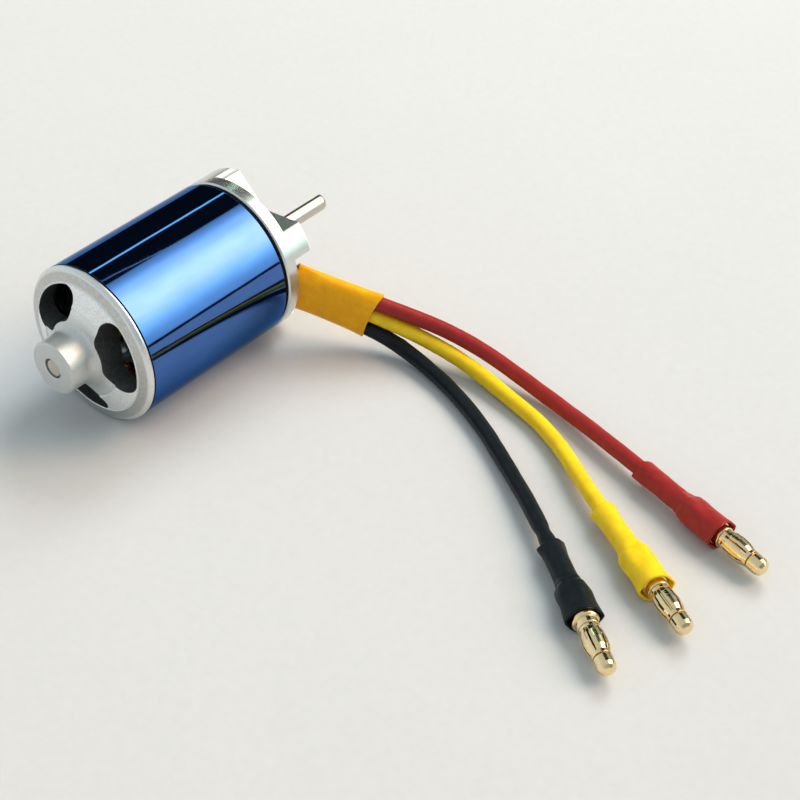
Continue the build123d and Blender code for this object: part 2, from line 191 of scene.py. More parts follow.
def centre_line(colour):
    curve = bpy.data.curves.new("route_" + colour, "CURVE")
    curve.dimensions = "3D"
    spline = curve.splines.new("NURBS")
    points = ROUTES[colour]
    spline.points.add(len(points) - 1)
    for knot, place in zip(spline.points, points):
        knot.co = (place[0] * MM, place[1] * MM, place[2] * MM, 1.0)
    spline.order_u = 3
    spline.use_endpoint_u = True
    curve.resolution_u = CURVE_STEPS
    carrier = bpy.data.objects.new("route_" + colour, curve)
    scene.collection.objects.link(carrier)
    bpy.context.view_layer.update()
    mesh = bpy.data.meshes.new_from_object(carrier)
    found = [v.co.copy() for v in mesh.vertices]
    bpy.data.objects.remove(carrier)
    bpy.data.curves.remove(curve)
    bpy.data.meshes.remove(mesh)
    return Line(found)


def lead_radius(colour, line):
    """Shrunk tubing over stranded wire: long soft lumps, small puckers, and smooth where it is covered."""
    seed = SEEDS[colour]
    bare_from, bare_to = SLEEVE_LENGTH, line.length - BOOT_START[colour]

    def radius(s, angle):
        bare = smooth_step(bare_from - 1 * MM, bare_from + 2 * MM, s)
        bare *= 1 - smooth_step(bare_to - 2 * MM, bare_to + 1 * MM, s)
        ring_place = Vector((math.cos(angle) * 0.55, math.sin(angle) * 0.55, s / (3.4 * MM) + seed))
        pucker_place = Vector((math.cos(angle) * 1.6, math.sin(angle) * 1.6, s / (1.3 * MM) - seed))
        change = LUMPS[colour] * noise.noise(ring_place) + 0.014 * noise.noise(pucker_place)
        if colour == "black":
            fold = math.exp(-((s - FOLD_AT) / FOLD_LENGTH) ** 2)
            change += 0.10 * fold * max(0.0, math.cos(angle - FOLD_SIDE))
            change -= 0.13 * math.exp(-((s - bare_to + PINCH_AHEAD) / PINCH_LENGTH) ** 2)
        return LEAD_R * (0.985 + change * bare)

    return radius


def make_lead(colour, line):
    steps = int(line.length / LEAD_STEP)
    stations = [line.length * i / steps for i in range(steps + 1)]
    vertices = skin(line, stations, LEAD_SIDES, lead_radius(colour, line))
    faces = ring_faces(len(stations), LEAD_SIDES)
    last = (len(stations) - 1) * LEAD_SIDES
    faces.append(tuple(reversed(range(LEAD_SIDES))))
    faces.append(tuple(range(last, last + LEAD_SIDES)))
    return add_mesh("wire_" + colour, vertices, faces)


# Heat-shrink boots. Places are measured from the end of the lead towards the plug's tip.
BOOT_SIDES, BOOT_STEPS = 56, 70
BOOT_WALL = 0.34 * MM
BOOT_REST = 2.56             # how far under its line a boot may reach before it meets the table, in mm
CUP_START, CUP_CLEAR_R = -0.7 * MM, 2.13 * MM    # where the solder cup begins, and the room that it needs
FLAT_FOLD = 0.30             # width in radians of the crease on each side, from the tubing's flat lay


def boot_profile(colour):
    start, end = -BOOT_START[colour] / MM, BOOT_END[colour] / MM
    return [(start, 1.88), (start + 1.5, 1.86), (start + 4.0, 1.82), (-2.6, 1.84), (-1.4, 2.00), (-0.2, 2.42),
            (0.8, 2.52), (3.0, 2.44), (end - 1.2, 2.46), (end, 2.52)]


def boot_radius(colour, line):
    profile = boot_profile(colour)
    start, end = -BOOT_START[colour] / MM, BOOT_END[colour] / MM
    seed = SEEDS[colour]

    def radius(s, angle):
        z = (s - line.length) / MM
        r = between(profile, z)
        sides = abs(math.cos(angle))
        crease = math.exp(-((1 - sides) / (FLAT_FOLD ** 2 / 2)) ** 0.8)
        ears = 0.30 * (1 - smooth_step(start, start + 3.0, z)) + 0.10
        ears += 0.20 * smooth_step(end - 3.0, end, z) + 0.26 * smooth_step(-1.8, 0.2, z)
        r += ears * crease
        # Pulled facets where the tubing spreads over the cup, then fine puckers.
        spread = smooth_step(-3.4, -1.2, z) * (1 - smooth_step(1.5, 4.5, z))
        r += 0.13 * spread * (math.cos(3 * angle + seed) + 0.6 * math.cos(5 * angle - 2 * seed + 0.5 * z))
        place = Vector((math.cos(angle) * 1.1, math.sin(angle) * 1.1, z / 2.6 + seed))
        r += 0.07 * noise.noise(place) + 0.02 * noise.noise(place * 3.7)
        up = math.sin(angle)
        if up < -0.5:
            r = min(r, BOOT_REST / -up)
        return r * MM

    return radius


def make_boot(colour, line):
    outside = boot_radius(colour, line)
    first, last = line.length - BOOT_START[colour], line.length + BOOT_END[colour]
    stations = [first + (last - first) * i / BOOT_STEPS for i in range(BOOT_STEPS + 1)]

    def ragged(s, angle):
        """The cut ends aren't quite square: they slant and waver a little."""
        slant = 0.22 * math.cos(angle + SEEDS[colour]) + 0.10 * math.sin(3 * angle)
        near = 1 - smooth_step(first, first + 2 * MM, s)
        far = smooth_step(last - 2 * MM, last, s)
        return slant * MM * (near - 0.6 * far)

    outer, inner = [], []
    for s in stations:
        for j in range(BOOT_SIDES):
            angle = 2 * math.pi * j / BOOT_SIDES
            place = s + ragged(s, angle)
            point, heading = line.at(place)
            side, up = cross_axes(heading)
            out = side * math.cos(angle) + up * math.sin(angle)
            r = outside(s, angle)
            outer.append(point + out * r)
            held = CUP_CLEAR_R if s > line.length + CUP_START else LEAD_R
            inner.append(point + out * max(r - BOOT_WALL, held))
    return wall_mesh("boot_shrink_" + colour, outer, inner, BOOT_SIDES)


# The flat sleeve over the row of three leads.
SLEEVE_SIDES, SLEEVE_STEPS = 72, 60
SLEEVE_WALL, SLEEVE_FREE = 0.40 * MM, 0.06 * MM  # wall, and room left round the leads
SLEEVE_INSIDE = 0.6 * MM     # how far it reaches back into the grommet's slot


def sleeve_outline(half_row, grow, angle):
    """Point of the section at an angle: between a stadium and a rounded box, so that its faces stay flat."""
    half_round = LEAD_R + grow
    along = math.cos(angle)
    lift = math.sin(angle)
    width = (abs(along) ** 0.62) * (half_row + half_round) * math.copysign(1, along)
    height = (abs(lift) ** 0.80) * half_round * math.copysign(1, lift)
    return width, height


def make_sleeve(lines):
    outer, inner = [], []
    for i in range(SLEEVE_STEPS + 1):
        s = -SLEEVE_INSIDE + (SLEEVE_LENGTH + SLEEVE_INSIDE) * i / SLEEVE_STEPS
        red, _ = lines["red"].at(s)
        black, _ = lines["black"].at(s)
        _, heading = lines["yellow"].at(s)
        middle = (red + black) / 2
        row = red - black
        across = row.normalized()
        face = heading.cross(across).normalized()
        half_row = row.length / 2
        far = smooth_step(SLEEVE_LENGTH - 3.2 * MM, SLEEVE_LENGTH, s)
        near = 1 - smooth_step(0.0, 5.0 * MM, s)
        for j in range(SLEEVE_SIDES):
            angle = 2 * math.pi * j / SLEEVE_SIDES
            width, height = sleeve_outline(half_row, SLEEVE_WALL, angle)
            edge = math.exp(-((1 - abs(math.cos(angle))) / 0.045) ** 0.9)
            width += math.copysign(1, math.cos(angle)) * edge * (0.22 * far + 0.40 * near + 0.10) * MM
            dip = 0.5 - 0.5 * math.cos(2 * math.pi * width / half_row)
            inside_row = 1 - smooth_step(half_row * 0.9, half_row * 1.2, abs(width))
            height *= 1 - 0.11 * dip * inside_row
            place = Vector((math.cos(angle) * 1.4, math.sin(angle) * 1.4, s / (3.6 * MM)))
            height *= 1 + 0.045 * noise.noise(place) + 0.02 * noise.noise(place * 3.1)
            shift = 0.25 * MM * math.cos(angle * 2 + 0.7) * far
            point = middle + heading * shift
            outer.append(point + across * width + face * height)
            width_in, height_in = sleeve_outline(half_row, SLEEVE_FREE, angle)
            inner.append(point + across * width_in + face * height_in)
    return wall_mesh("sleeve_shrink", outer, inner, SLEEVE_SIDES)


lines = {colour: centre_line(colour) for colour in ROUTES}
sleeve = make_sleeve(lines)
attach(sleeve, "stator")
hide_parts("lead_sleeve")
leads, boots = {}, {}
for colour, line in lines.items():
    lead = make_lead(colour, line)
    boot = make_boot(colour, line)
    for piece, node in ((lead, "lead_" + colour), (boot, "boot_" + colour)):
        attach(piece, "stator")
        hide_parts(node)
    leads[colour], boots[colour] = lead, boot

# ---- windings: wire laid turn by turn round each tooth ---------------------------------------------------
SLOTS = 12
WIRE_R, WIRE_SIDES = 0.20 * MM, 7
WIRE_PITCH = 0.41 * MM
WIRE_WANDER = 0.05 * MM
SECOND_LAYER_FROM = 8.0 * MM
STACK_MIDDLE = -21.5 * MM
TURN_START, TURN_END = 7.52 * MM, 9.60 * MM
HOLE_HALF_LENGTH, HOLE_HALF_WIDTH = 10.47 * MM, 1.07 * MM
CORNER_POINTS = 5


def turn_path(layer):
    """Rounded rectangle of one turn, as (along, across) pairs round the tooth."""
    out = WIRE_R + layer * WIRE_PITCH
    length, width = HOLE_HALF_LENGTH + out, HOLE_HALF_WIDTH + out
    corner = 0.55 * MM + layer * WIRE_PITCH
    path = []
    for sx, sy, first in ((1, 1, 0), (-1, 1, 90), (-1, -1, 180), (1, -1, 270)):
        for i in range(CORNER_POINTS):
            angle = math.radians(first + 90 * i / (CORNER_POINTS - 1))
            path.append((sx * (length - corner) + corner * math.cos(angle),
                         sy * (width - corner) + corner * math.sin(angle)))
    return path


def make_windings():
    vertices, faces = [], []
    for tooth in range(SLOTS):
        turn = Matrix.Rotation(math.radians(tooth * 360 / SLOTS), 4, "X")
        height, level = TURN_START, 0
        while height < TURN_END:
            for layer in range(2 if height > SECOND_LAYER_FROM else 1):
                path = turn_path(layer)
                start = len(vertices)
                for i, (along, across) in enumerate(path):
                    ahead, behind = path[(i + 1) % len(path)], path[i - 1]
                    heading = Vector((ahead[0] - behind[0], ahead[1] - behind[1])).normalized()
                    outward = Vector((heading[1], -heading[0]))
                    wander = WIRE_WANDER * noise.noise(Vector((i * 0.9, level * 1.7, tooth * 3.1)))
                    for j in range(WIRE_SIDES):
                        angle = 2 * math.pi * j / WIRE_SIDES
                        out = WIRE_R * math.cos(angle) + wander * 0.4
                        rise = WIRE_R * math.sin(angle) + wander
                        place = Vector((STACK_MIDDLE + along + outward[0] * out, height + rise,
                                        across + outward[1] * out))
                        vertices.append(turn @ place)
                faces += ring_faces(len(path), WIRE_SIDES, start, closed=True)
            height += WIRE_PITCH
            level += 1
    return add_mesh("winding_turns", vertices, faces)


windings = make_windings()
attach(windings, "stator")
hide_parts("windings")


# ---- materials -------------------------------------------------------------------------------------------
RING_FRONT, RING_BACK = -6.4 * MM, -4.1 * MM      # the mount's outer ring, along the shaft
MOUNT_BEVEL = 13.50 * MM, 13.58 * MM              # radius where the arms' bevel starts and is complete
CAN_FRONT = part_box("flux_ring")[0][0]             # where the can meets the bell


class Graph:
    """Short calls for building a node tree."""

    def __init__(self, tree):
        self.tree = tree
        tree.nodes.clear()

    def add(self, kind, values=None, **settings):
        node = self.tree.nodes.new(kind)
        for key, value in settings.items():
            setattr(node, key, value)
        for key, value in (values or {}).items():
            self.put(node.inputs[key], value)
        return node

    def put(self, socket, value):
        if isinstance(value, bpy.types.NodeSocket):
            self.tree.links.new(value, socket)
        elif isinstance(value, bpy.types.Node):
            self.tree.links.new(value.outputs[0], socket)
        else:
            socket.default_value = value

    def math(self, operation, a, b=0.0, c=0.0):
        return self.add("ShaderNodeMath", {0: a, 1: b, 2: c}, operation=operation).outputs[0]

    def times(self, a, b):
        return self.math("MULTIPLY", a, b)

    def dot(self, a, b):
        return self.add("ShaderNodeVectorMath", {0: a, 1: b}, operation="DOT_PRODUCT").outputs["Value"]

    def joined(self, *parts):
        """A vector of up to three values, for patterns that follow the shaft."""
        return self.add("ShaderNodeCombineXYZ", dict(enumerate(parts))).outputs[0]

    def open_air(self, distance):
        """1 in the open, falling to 0 in corners."""
        node = self.add("ShaderNodeAmbientOcclusion", {"Distance": distance}, samples=8)
        return node.outputs["AO"]

    def vary(self, value, pattern, amount):
        """A value that a pattern around 0.5 moves up and down."""
        return self.math("MULTIPLY_ADD", self.math("SUBTRACT", pattern, 0.5), amount, value)

    def ranged(self, value, from_low, from_high, to_low=0.0, to_high=1.0, smooth=False):
        node = self.add("ShaderNodeMapRange", {"Value": value, "From Min": from_low, "From Max": from_high,
                                               "To Min": to_low, "To Max": to_high})
        if smooth:
            node.interpolation_type = "SMOOTHSTEP"
        return node.outputs[0]

    def mix(self, factor, a, b, mode="MIX"):
        node = self.add("ShaderNodeMix", data_type="RGBA", blend_type=mode)
        self.put(node.inputs[0], factor)
        self.put(node.inputs[6], a)
        self.put(node.inputs[7], b)
        return node.outputs[2]

    def noise(self, place, size, detail=3.0, roughness=0.55):
        return self.add("ShaderNodeTexNoise", {"Vector": place, "Scale": 1 / size, "Detail": detail,
                                               "Roughness": roughness}).outputs[0]

    def bump(self, height, strength, distance, normal=None):
        node = self.add("ShaderNodeBump", {"Height": height, "Strength": strength, "Distance": distance})
        if normal is not None:
            self.put(node.inputs["Normal"], normal)
        return node.outputs[0]

    def scaled(self, place, scale):
        return self.add("ShaderNodeMapping", {"Vector": place, "Scale": scale}).outputs[0]


def rgb(r, g, b):
    return (r, g, b, 1.0)


def shade(colour, share):
    return rgb(*[min(1.0, c * share) for c in colour])


def set_inputs(graph, shader, **inputs):
    """Sets or links the shader's inputs, named with _ for a space."""
    for name, value in inputs.items():
        graph.put(shader.inputs[name.replace("_", " ")], value)


def new_material(name):
    material = bpy.data.materials.new(name)
    material.use_nodes = True
    graph = Graph(material.node_tree)
    place = graph.add("ShaderNodeTexCoord").outputs["Object"]
    shader = graph.add("ShaderNodeBsdfPrincipled")
    out = graph.add("ShaderNodeOutputMaterial")
    graph.tree.links.new(shader.outputs[0], out.inputs["Surface"])
    return material, graph, place, shader


def edge_mask(graph, radius):
    """1 on edges about that wide, 0 on faces, from how far a rounded normal turns."""
    rounded = graph.add("ShaderNodeBevel", {"Radius": radius}, samples=6).outputs[0]
    plain = graph.add("ShaderNodeNewGeometry").outputs["Normal"]
    return rounded, graph.ranged(graph.dot(rounded, plain), 0.995, 0.80)


def polar_place(graph, place):
    """Coordinates that follow turning marks: distance from the shaft axis, distance along it."""
    parts = graph.add("ShaderNodeSeparateXYZ", {0: place})
    y2 = graph.times(parts.outputs[1], parts.outputs[1])
    z2 = graph.times(parts.outputs[2], parts.outputs[2])
    radius = graph.math("SQRT", graph.math("ADD", y2, z2))
    return radius, parts.outputs[0]


def metal(name, colour, roughness, grain=0.0, marks=0.0, mark_size=0.09, edge=0.0, dull=0.0, spread=0.06):
    """Metal with blasted grain, turning marks round the shaft, brighter worn edges and dull patches."""
    material, graph, place, shader = new_material(name)
    cloud = graph.noise(place, 2.2 * MM, 4.0)
    grainy = graph.noise(place, 0.12 * MM, 2.0, 0.6)
    rough = graph.vary(roughness, cloud, 2 * spread)
    rough = graph.vary(rough, grainy, 0.12 * (grain > 0))
    base = graph.mix(graph.ranged(cloud, 0.3, 0.7), shade(colour, 1 - 0.07 - dull), shade(colour, 1.0))
    base = graph.mix(graph.times(grainy, 0.25 * (grain > 0)), base, shade(colour, 0.72))
    rounded, edges = edge_mask(graph, 0.10 * MM)
    normal = rounded
    if grain:
        normal = graph.bump(grainy, grain, 0.02 * MM, normal)
    if marks:
        turned = graph.noise(graph.joined(*polar_place(graph, place)), mark_size * MM, 2.0, 0.7)
        normal = graph.bump(turned, marks, 0.012 * MM, normal)
        rough = graph.vary(rough, turned, 0.18)
    if edge:
        base = graph.mix(graph.times(edges, edge), base, shade(colour, 1.22))
        rough = graph.math("MULTIPLY_ADD", edges, -0.12 * edge, rough)
    set_inputs(graph, shader, Base_Color=base, Metallic=1.0, Roughness=graph.math("MAXIMUM", rough, 0.03),
               Normal=normal)
    return material


# Places on the bell. Each pair is where a zone starts and is complete, as a radius.
BELL_BORE = 1.74 * MM, 1.82 * MM
BELL_HUB_FOOT = 5.8 * MM, 7.4 * MM
BELL_TURNED = 8.25 * MM      # turned smooth inside this radius and blasted outside it
BELL_WINDOWS_IN, BELL_WINDOWS_OUT = (5.3 * MM, 5.5 * MM), (11.9 * MM, 12.1 * MM)
BELL_RIM, BELL_RIM_EDGE = (11.75 * MM, 11.85 * MM), (13.2 * MM, 13.45 * MM)


def bell_metal():
    """Blasted casting, turned hub and rim; painted shade on milled window walls, inner faces and corners."""
    material, graph, place, shader = new_material("bell_blasted_alloy")
    radius, along = polar_place(graph, place)
    grainy = graph.noise(place, 0.24 * MM, 3.0, 0.7)
    coarse = graph.noise(place, 0.55 * MM, 3.0, 0.6)
    cloud = graph.noise(place, 3.0 * MM, 4.0)
    rings = graph.noise(graph.joined(radius, along), 0.10 * MM, 2.0, 0.7)
    rim = graph.ranged(radius, *BELL_RIM)
    rim_edge = graph.ranged(radius, *BELL_RIM_EDGE)
    facing = graph.add("ShaderNodeSeparateXYZ", {0: graph.add("ShaderNodeNewGeometry").outputs["Normal"]})
    facing_x = facing.outputs[0]
    # Window walls and faces turned into the can (+X) get a dark colour: partly the walls' milled tone, mostly
    # painted shade.
    wall = graph.ranged(graph.math("ABSOLUTE", facing_x), 0.02, 0.10, 1.0, 0.0)
    deep = graph.times(graph.ranged(radius, *BELL_WINDOWS_IN),
                       graph.ranged(radius, *BELL_WINDOWS_OUT, 1.0, 0.0))
    behind = graph.ranged(facing_x, 0.05, 0.2)
    wall = graph.math("MAXIMUM", graph.times(wall, deep), behind)
    blasted = graph.mix(graph.ranged(cloud, 0.3, 0.7), rgb(0.96, 0.96, 0.95), rgb(1.0, 1.0, 0.99))
    turned = graph.mix(graph.ranged(coarse, 0.30, 0.70), rgb(0.50, 0.51, 0.50), rgb(0.64, 0.65, 0.64))
    turned = graph.mix(rim_edge, turned, rgb(0.78, 0.79, 0.78))
    hub = graph.ranged(radius, BELL_TURNED - 0.05 * MM, BELL_TURNED + 0.05 * MM, 1.0, 0.0)
    base = graph.mix(rim, blasted, turned)
    base = graph.mix(hub, base, graph.mix(graph.ranged(radius, *BELL_HUB_FOOT), rgb(0.63, 0.64, 0.625),
                                          rgb(0.84, 0.85, 0.84)))
    machined = graph.math("MAXIMUM", rim, hub)
    speckle = graph.math("MULTIPLY_ADD", machined, -0.14, 0.40)
    base = graph.mix(graph.times(graph.ranged(grainy, 0.42, 0.68), speckle), base, rgb(0.30, 0.30, 0.29))
    # Painted shade on the window walls and inward faces, over their own milled tone.
    base = graph.mix(wall, base, graph.mix(graph.ranged(coarse, 0.3, 0.7), rgb(0.11, 0.12, 0.12),
                                           rgb(0.18, 0.19, 0.185)))
    # Painted shade in corners and creases, from ambient occlusion.
    painted_corner_shade = graph.ranged(graph.open_air(1.2 * MM), 0.15, 0.62, 0.75, 0.0)
    base = graph.mix(painted_corner_shade, base, rgb(0.07, 0.07, 0.065))
    joint = graph.times(graph.ranged(along, CAN_FRONT - 0.22 * MM, CAN_FRONT - 0.16 * MM),
                        graph.ranged(radius, 13.4 * MM, 13.5 * MM))
    base = graph.mix(joint, base, rgb(0.01, 0.01, 0.012))
    base = graph.mix(graph.ranged(radius, *BELL_BORE, 1.0, 0.0), base, rgb(0.10, 0.10, 0.095))
    rounded, edges = edge_mask(graph, 0.16 * MM)
    # Painted highlight: edges of faces turned to the front (-X) are made brighter.
    painted_edge_highlight = graph.times(graph.times(edges, 0.8), graph.ranged(facing_x, -0.2, 0.0, 1.0, 0.0))
    base = graph.mix(painted_edge_highlight, base, rgb(0.95, 0.95, 0.94))
    polished = graph.math("MAXIMUM", rim, graph.times(hub, 0.45))
    rough = graph.math("MULTIPLY_ADD", polished, -0.13, 0.44)
    rough = graph.vary(rough, coarse, 0.10)
    normal = graph.bump(grainy, graph.math("MULTIPLY_ADD", machined, -0.42, 0.60), 0.025 * MM, rounded)
    normal = graph.bump(rings, graph.times(machined, 0.35), 0.012 * MM, normal)
    set_inputs(graph, shader, Base_Color=base, Metallic=graph.math("MULTIPLY_ADD", polished, 0.30, 0.62),
               Roughness=rough, Normal=normal)
    return material


def mount_metal():
    """Satin machined alloy: fine grain, cutter streaks in the milled hollows, painted shade inside the can.
    """
    material, graph, place, shader = new_material("mount_satin_alloy")
    radius, along = polar_place(graph, place)
    grainy = graph.noise(place, 0.13 * MM, 3.0, 0.65)
    cloud = graph.noise(place, 2.4 * MM, 4.0)
    streaks = graph.noise(graph.scaled(place, (0.12, 1.0, 1.0)), 0.22 * MM, 3.0, 0.7)
    normal = graph.add("ShaderNodeNewGeometry").outputs["Normal"]
    out = graph.add("ShaderNodeVectorMath", {0: graph.scaled(place, (0.0, 1.0, 1.0))}, operation="NORMALIZE")
    outward = graph.dot(out.outputs[0], normal)
    # Milled hollows lie behind the ring, and their faces don't look straight out from the shaft.
    hollow = graph.times(graph.ranged(along, RING_BACK - 0.1 * MM, RING_BACK),
                         graph.ranged(outward, 0.978, 0.992, 1.0, 0.0))
    outside = graph.ranged(outward, 0.97, 0.99)
    # The tube inside the can is painted near black as shade.
    inside = graph.ranged(along, RING_FRONT - 1.0 * MM, RING_FRONT - 0.5 * MM, 1.0, 0.0)
    base = graph.mix(graph.ranged(cloud, 0.3, 0.7), rgb(0.64, 0.65, 0.64), rgb(0.72, 0.73, 0.72))
    base = graph.mix(graph.times(graph.ranged(grainy, 0.40, 0.7), 0.28), base, rgb(0.50, 0.51, 0.50))
    base = graph.mix(graph.times(hollow, graph.ranged(streaks, 0.2, 0.7)), base, rgb(0.36, 0.41, 0.37))
    base = graph.mix(inside, base, rgb(0.08, 0.08, 0.085))
    # Painted shade in corners and creases, from ambient occlusion.
    painted_corner_shade = graph.ranged(graph.open_air(1.0 * MM), 0.15, 0.55, 0.75, 0.0)
    base = graph.mix(painted_corner_shade, base, rgb(0.05, 0.06, 0.055))
    rounded, edges = edge_mask(graph, 0.14 * MM)
    base = graph.mix(graph.times(edges, 0.75), base, rgb(0.92, 0.92, 0.91))
    rough = graph.vary(0.24, grainy, 0.14)
    rough = graph.math("MULTIPLY_ADD", hollow, 0.08, rough)
    bevel = graph.times(hollow, graph.ranged(radius, *MOUNT_BEVEL))
    base = graph.mix(bevel, base, rgb(0.92, 0.92, 0.91))
    rough = graph.math("MULTIPLY_ADD", bevel, 0.20, rough)
    turned = graph.noise(graph.joined(along, radius), 0.07 * MM, 1.0)
    relief = graph.bump(grainy, 0.40, 0.015 * MM, rounded)
    relief = graph.bump(turned, graph.times(outside, 0.5), 0.012 * MM, relief)
    relief = graph.bump(streaks, graph.times(hollow, 0.5), 0.02 * MM, relief)
    set_inputs(graph, shader, Base_Color=base, Metallic=graph.math("MULTIPLY_ADD", bevel, -0.62, 0.92),
               Roughness=rough, Normal=relief)
    return material


def plating():
    """Mirror-bright blue plating with a faint long ripple, hairlines round the can and a few specks."""
    material, graph, place, shader = new_material("blue_mirror_plating")
    ripple = graph.noise(graph.scaled(place, (0.35, 1.0, 1.0)), 2.6 * MM, 2.0)
    radius, along = polar_place(graph, place)
    hairs = graph.noise(graph.joined(along), 0.05 * MM, 1.0)
    specks = graph.noise(place, 0.45 * MM, 1.0, 0.4)
    dots = graph.ranged(specks, 0.80, 0.84)
    base = graph.mix(graph.ranged(ripple, 0.3, 0.7), rgb(0.058, 0.136, 0.38), rgb(0.068, 0.152, 0.42))
    base = graph.mix(graph.times(dots, 0.7), base, rgb(0.01, 0.03, 0.10))
    rounded, edges = edge_mask(graph, 0.12 * MM)
    base = graph.mix(graph.times(edges, 0.5), base, rgb(0.30, 0.45, 0.72))
    # The can's inner face is painted near black: not blue, as magnets cover it in the real can, and darkened
    # as painted shade.
    inside = graph.ranged(radius, 13.3 * MM, 13.4 * MM, 1.0, 0.0)
    base = graph.mix(inside, base, rgb(0.03, 0.03, 0.035))
    joint = graph.ranged(along, CAN_FRONT + 0.10 * MM, CAN_FRONT + 0.16 * MM, 1.0, 0.0)
    base = graph.mix(joint, base, rgb(0.004, 0.005, 0.008))
    normal = graph.bump(ripple, 0.035, 0.20 * MM, rounded)
    normal = graph.bump(hairs, 0.02, 0.004 * MM, normal)
    set_inputs(graph, shader, Base_Color=base, Metallic=1.0, Normal=normal,
               Roughness=graph.math("MULTIPLY_ADD", ripple, 0.02, 0.03),
               Specular_Tint=rgb(0.40, 0.50, 0.65))
    return material


def shrink(name, colour, deep, roughness, gloss):
    """Heat-shrink tubing: satin plastic with drawn streaks, soft mottling and tiny pits."""
    material, graph, place, shader = new_material(name)
    mottle = graph.noise(place, 1.9 * MM, 4.0)
    pits = graph.noise(place, 0.16 * MM, 3.0, 0.6)
    drawn = graph.noise(graph.scaled(place, (1.0, 0.16, 1.0)), 0.30 * MM, 3.0)
    tone = graph.math("ADD", graph.times(mottle, 0.7), graph.times(drawn, 0.3))
    base = graph.mix(graph.ranged(tone, 0.33, 0.66), rgb(*deep), rgb(*colour))
    rough = graph.vary(roughness, pits, 0.16)
    normal = graph.bump(drawn, 0.18, 0.04 * MM)
    normal = graph.bump(pits, 0.16, 0.02 * MM, normal)
    set_inputs(graph, shader, Base_Color=base, Roughness=rough, Specular_IOR_Level=gloss, Normal=normal)
    return material


def laminated():
    """Edge of a stack of coated sheets: fine lines across the shaft direction."""
    material, graph, place, shader = new_material("lamination_stack")
    wave = graph.add("ShaderNodeTexWave", {"Vector": place, "Scale": 1 / (2.2 * MM), "Distortion": 0.0},
                     wave_type="BANDS", bands_direction="X").outputs[1]
    cloud = graph.noise(place, 0.8 * MM, 3.0)
    base = graph.mix(graph.ranged(wave, 0.2, 0.8), rgb(0.05, 0.05, 0.055), rgb(0.20, 0.20, 0.21))
    base = graph.mix(graph.times(cloud, 0.4), base, rgb(0.10, 0.085, 0.07))
    set_inputs(graph, shader, Base_Color=base, Metallic=0.75, Roughness=0.5,
               Normal=graph.bump(wave, 0.4, 0.03 * MM))
    return material


def enamelled_wire():
    """Copper wire under a clear enamel, which is darker in patches."""
    material, graph, place, shader = new_material("enamelled_copper")
    cloud = graph.noise(place, 1.4 * MM, 4.0)
    fine = graph.noise(place, 0.12 * MM, 2.0)
    base = graph.mix(graph.ranged(cloud, 0.3, 0.7), rgb(0.33, 0.075, 0.025), rgb(0.62, 0.20, 0.07))
    set_inputs(graph, shader, Base_Color=base, Metallic=0.9, Coat_Weight=0.7, Coat_Roughness=0.12,
               Roughness=graph.math("MULTIPLY_ADD", fine, 0.15, 0.24),
               Normal=graph.bump(fine, 0.1, 0.01 * MM))
    return material


def dull_sheet(name, colour, light, roughness, size):
    """Rubber or fibre sheet: matt, with speckle and a soft relief."""
    material, graph, place, shader = new_material(name)
    speckle = graph.noise(place, size * MM, 4.0, 0.65)
    cloud = graph.noise(place, 2.0 * MM, 3.0)
    tone = graph.math("ADD", graph.times(speckle, 0.6), graph.times(cloud, 0.4))
    set_inputs(graph, shader, Base_Color=graph.mix(graph.ranged(tone, 0.35, 0.65), rgb(*colour), rgb(*light)),
               Roughness=graph.math("MULTIPLY_ADD", speckle, 0.15, roughness),
               Normal=graph.bump(speckle, 0.25, 0.02 * MM))
    return material


MATERIALS = {
    "mount_alloy": mount_metal(),
    "bell_alloy": bell_metal(),
    "blue_plating": plating(),
    "shaft_steel": metal("ground_shaft_steel", (0.58, 0.52, 0.45), 0.20, marks=0.35, mark_size=0.05,
                         edge=0.5),
    "bearing_steel": metal("polished_bearing_steel", (0.50, 0.51, 0.52), 0.16, marks=0.15, edge=0.3,
                           spread=0.02),
    "shield_steel": metal("pressed_shield_steel", (0.30, 0.30, 0.31), 0.32, marks=0.3, edge=0.4),
    "spring_steel": metal("black_spring_steel", (0.10, 0.10, 0.11), 0.38, grain=0.15, edge=0.6),
    "black_screw_steel": metal("black_screw_steel", (0.07, 0.07, 0.075), 0.36, grain=0.2, edge=0.8),
    "magnet_nickel": metal("nickel_magnet", (0.50, 0.50, 0.50), 0.30, grain=0.15, edge=0.4, dull=0.12),
    "spacer_brass": metal("turned_brass", (0.42, 0.32, 0.16), 0.30, marks=0.35, edge=0.4),
    "gold_contact": metal("gold_contact", (0.95, 0.74, 0.42), 0.13, edge=0.5, spread=0.03),
    "lamination_steel": laminated(),
    "copper_wire": enamelled_wire(),
    "insulator_sheet": dull_sheet("insulator_fibre", (0.012, 0.018, 0.014), (0.035, 0.045, 0.035), 0.55, 0.2),
    "black_rubber": dull_sheet("grommet_rubber", (0.010, 0.010, 0.011), (0.030, 0.030, 0.031), 0.6, 0.25),
    "red_heat_shrink": shrink("red_shrink", (0.34, 0.020, 0.016), (0.26, 0.014, 0.012), 0.40, 0.26),
    "yellow_heat_shrink": shrink("yellow_shrink", (0.98, 0.67, 0.010), (0.88, 0.54, 0.008), 0.38, 0.26),
    "yellow_sleeve": shrink("sleeve_shrink", (0.98, 0.46, 0.003), (0.86, 0.36, 0.002), 0.40, 0.20),
    "black_heat_shrink": shrink("black_shrink", (0.009, 0.012, 0.016), (0.004, 0.006, 0.008), 0.36, 0.16),
}


def dress(obj, material):
    obj.data.materials.clear()
    obj.data.materials.append(material)


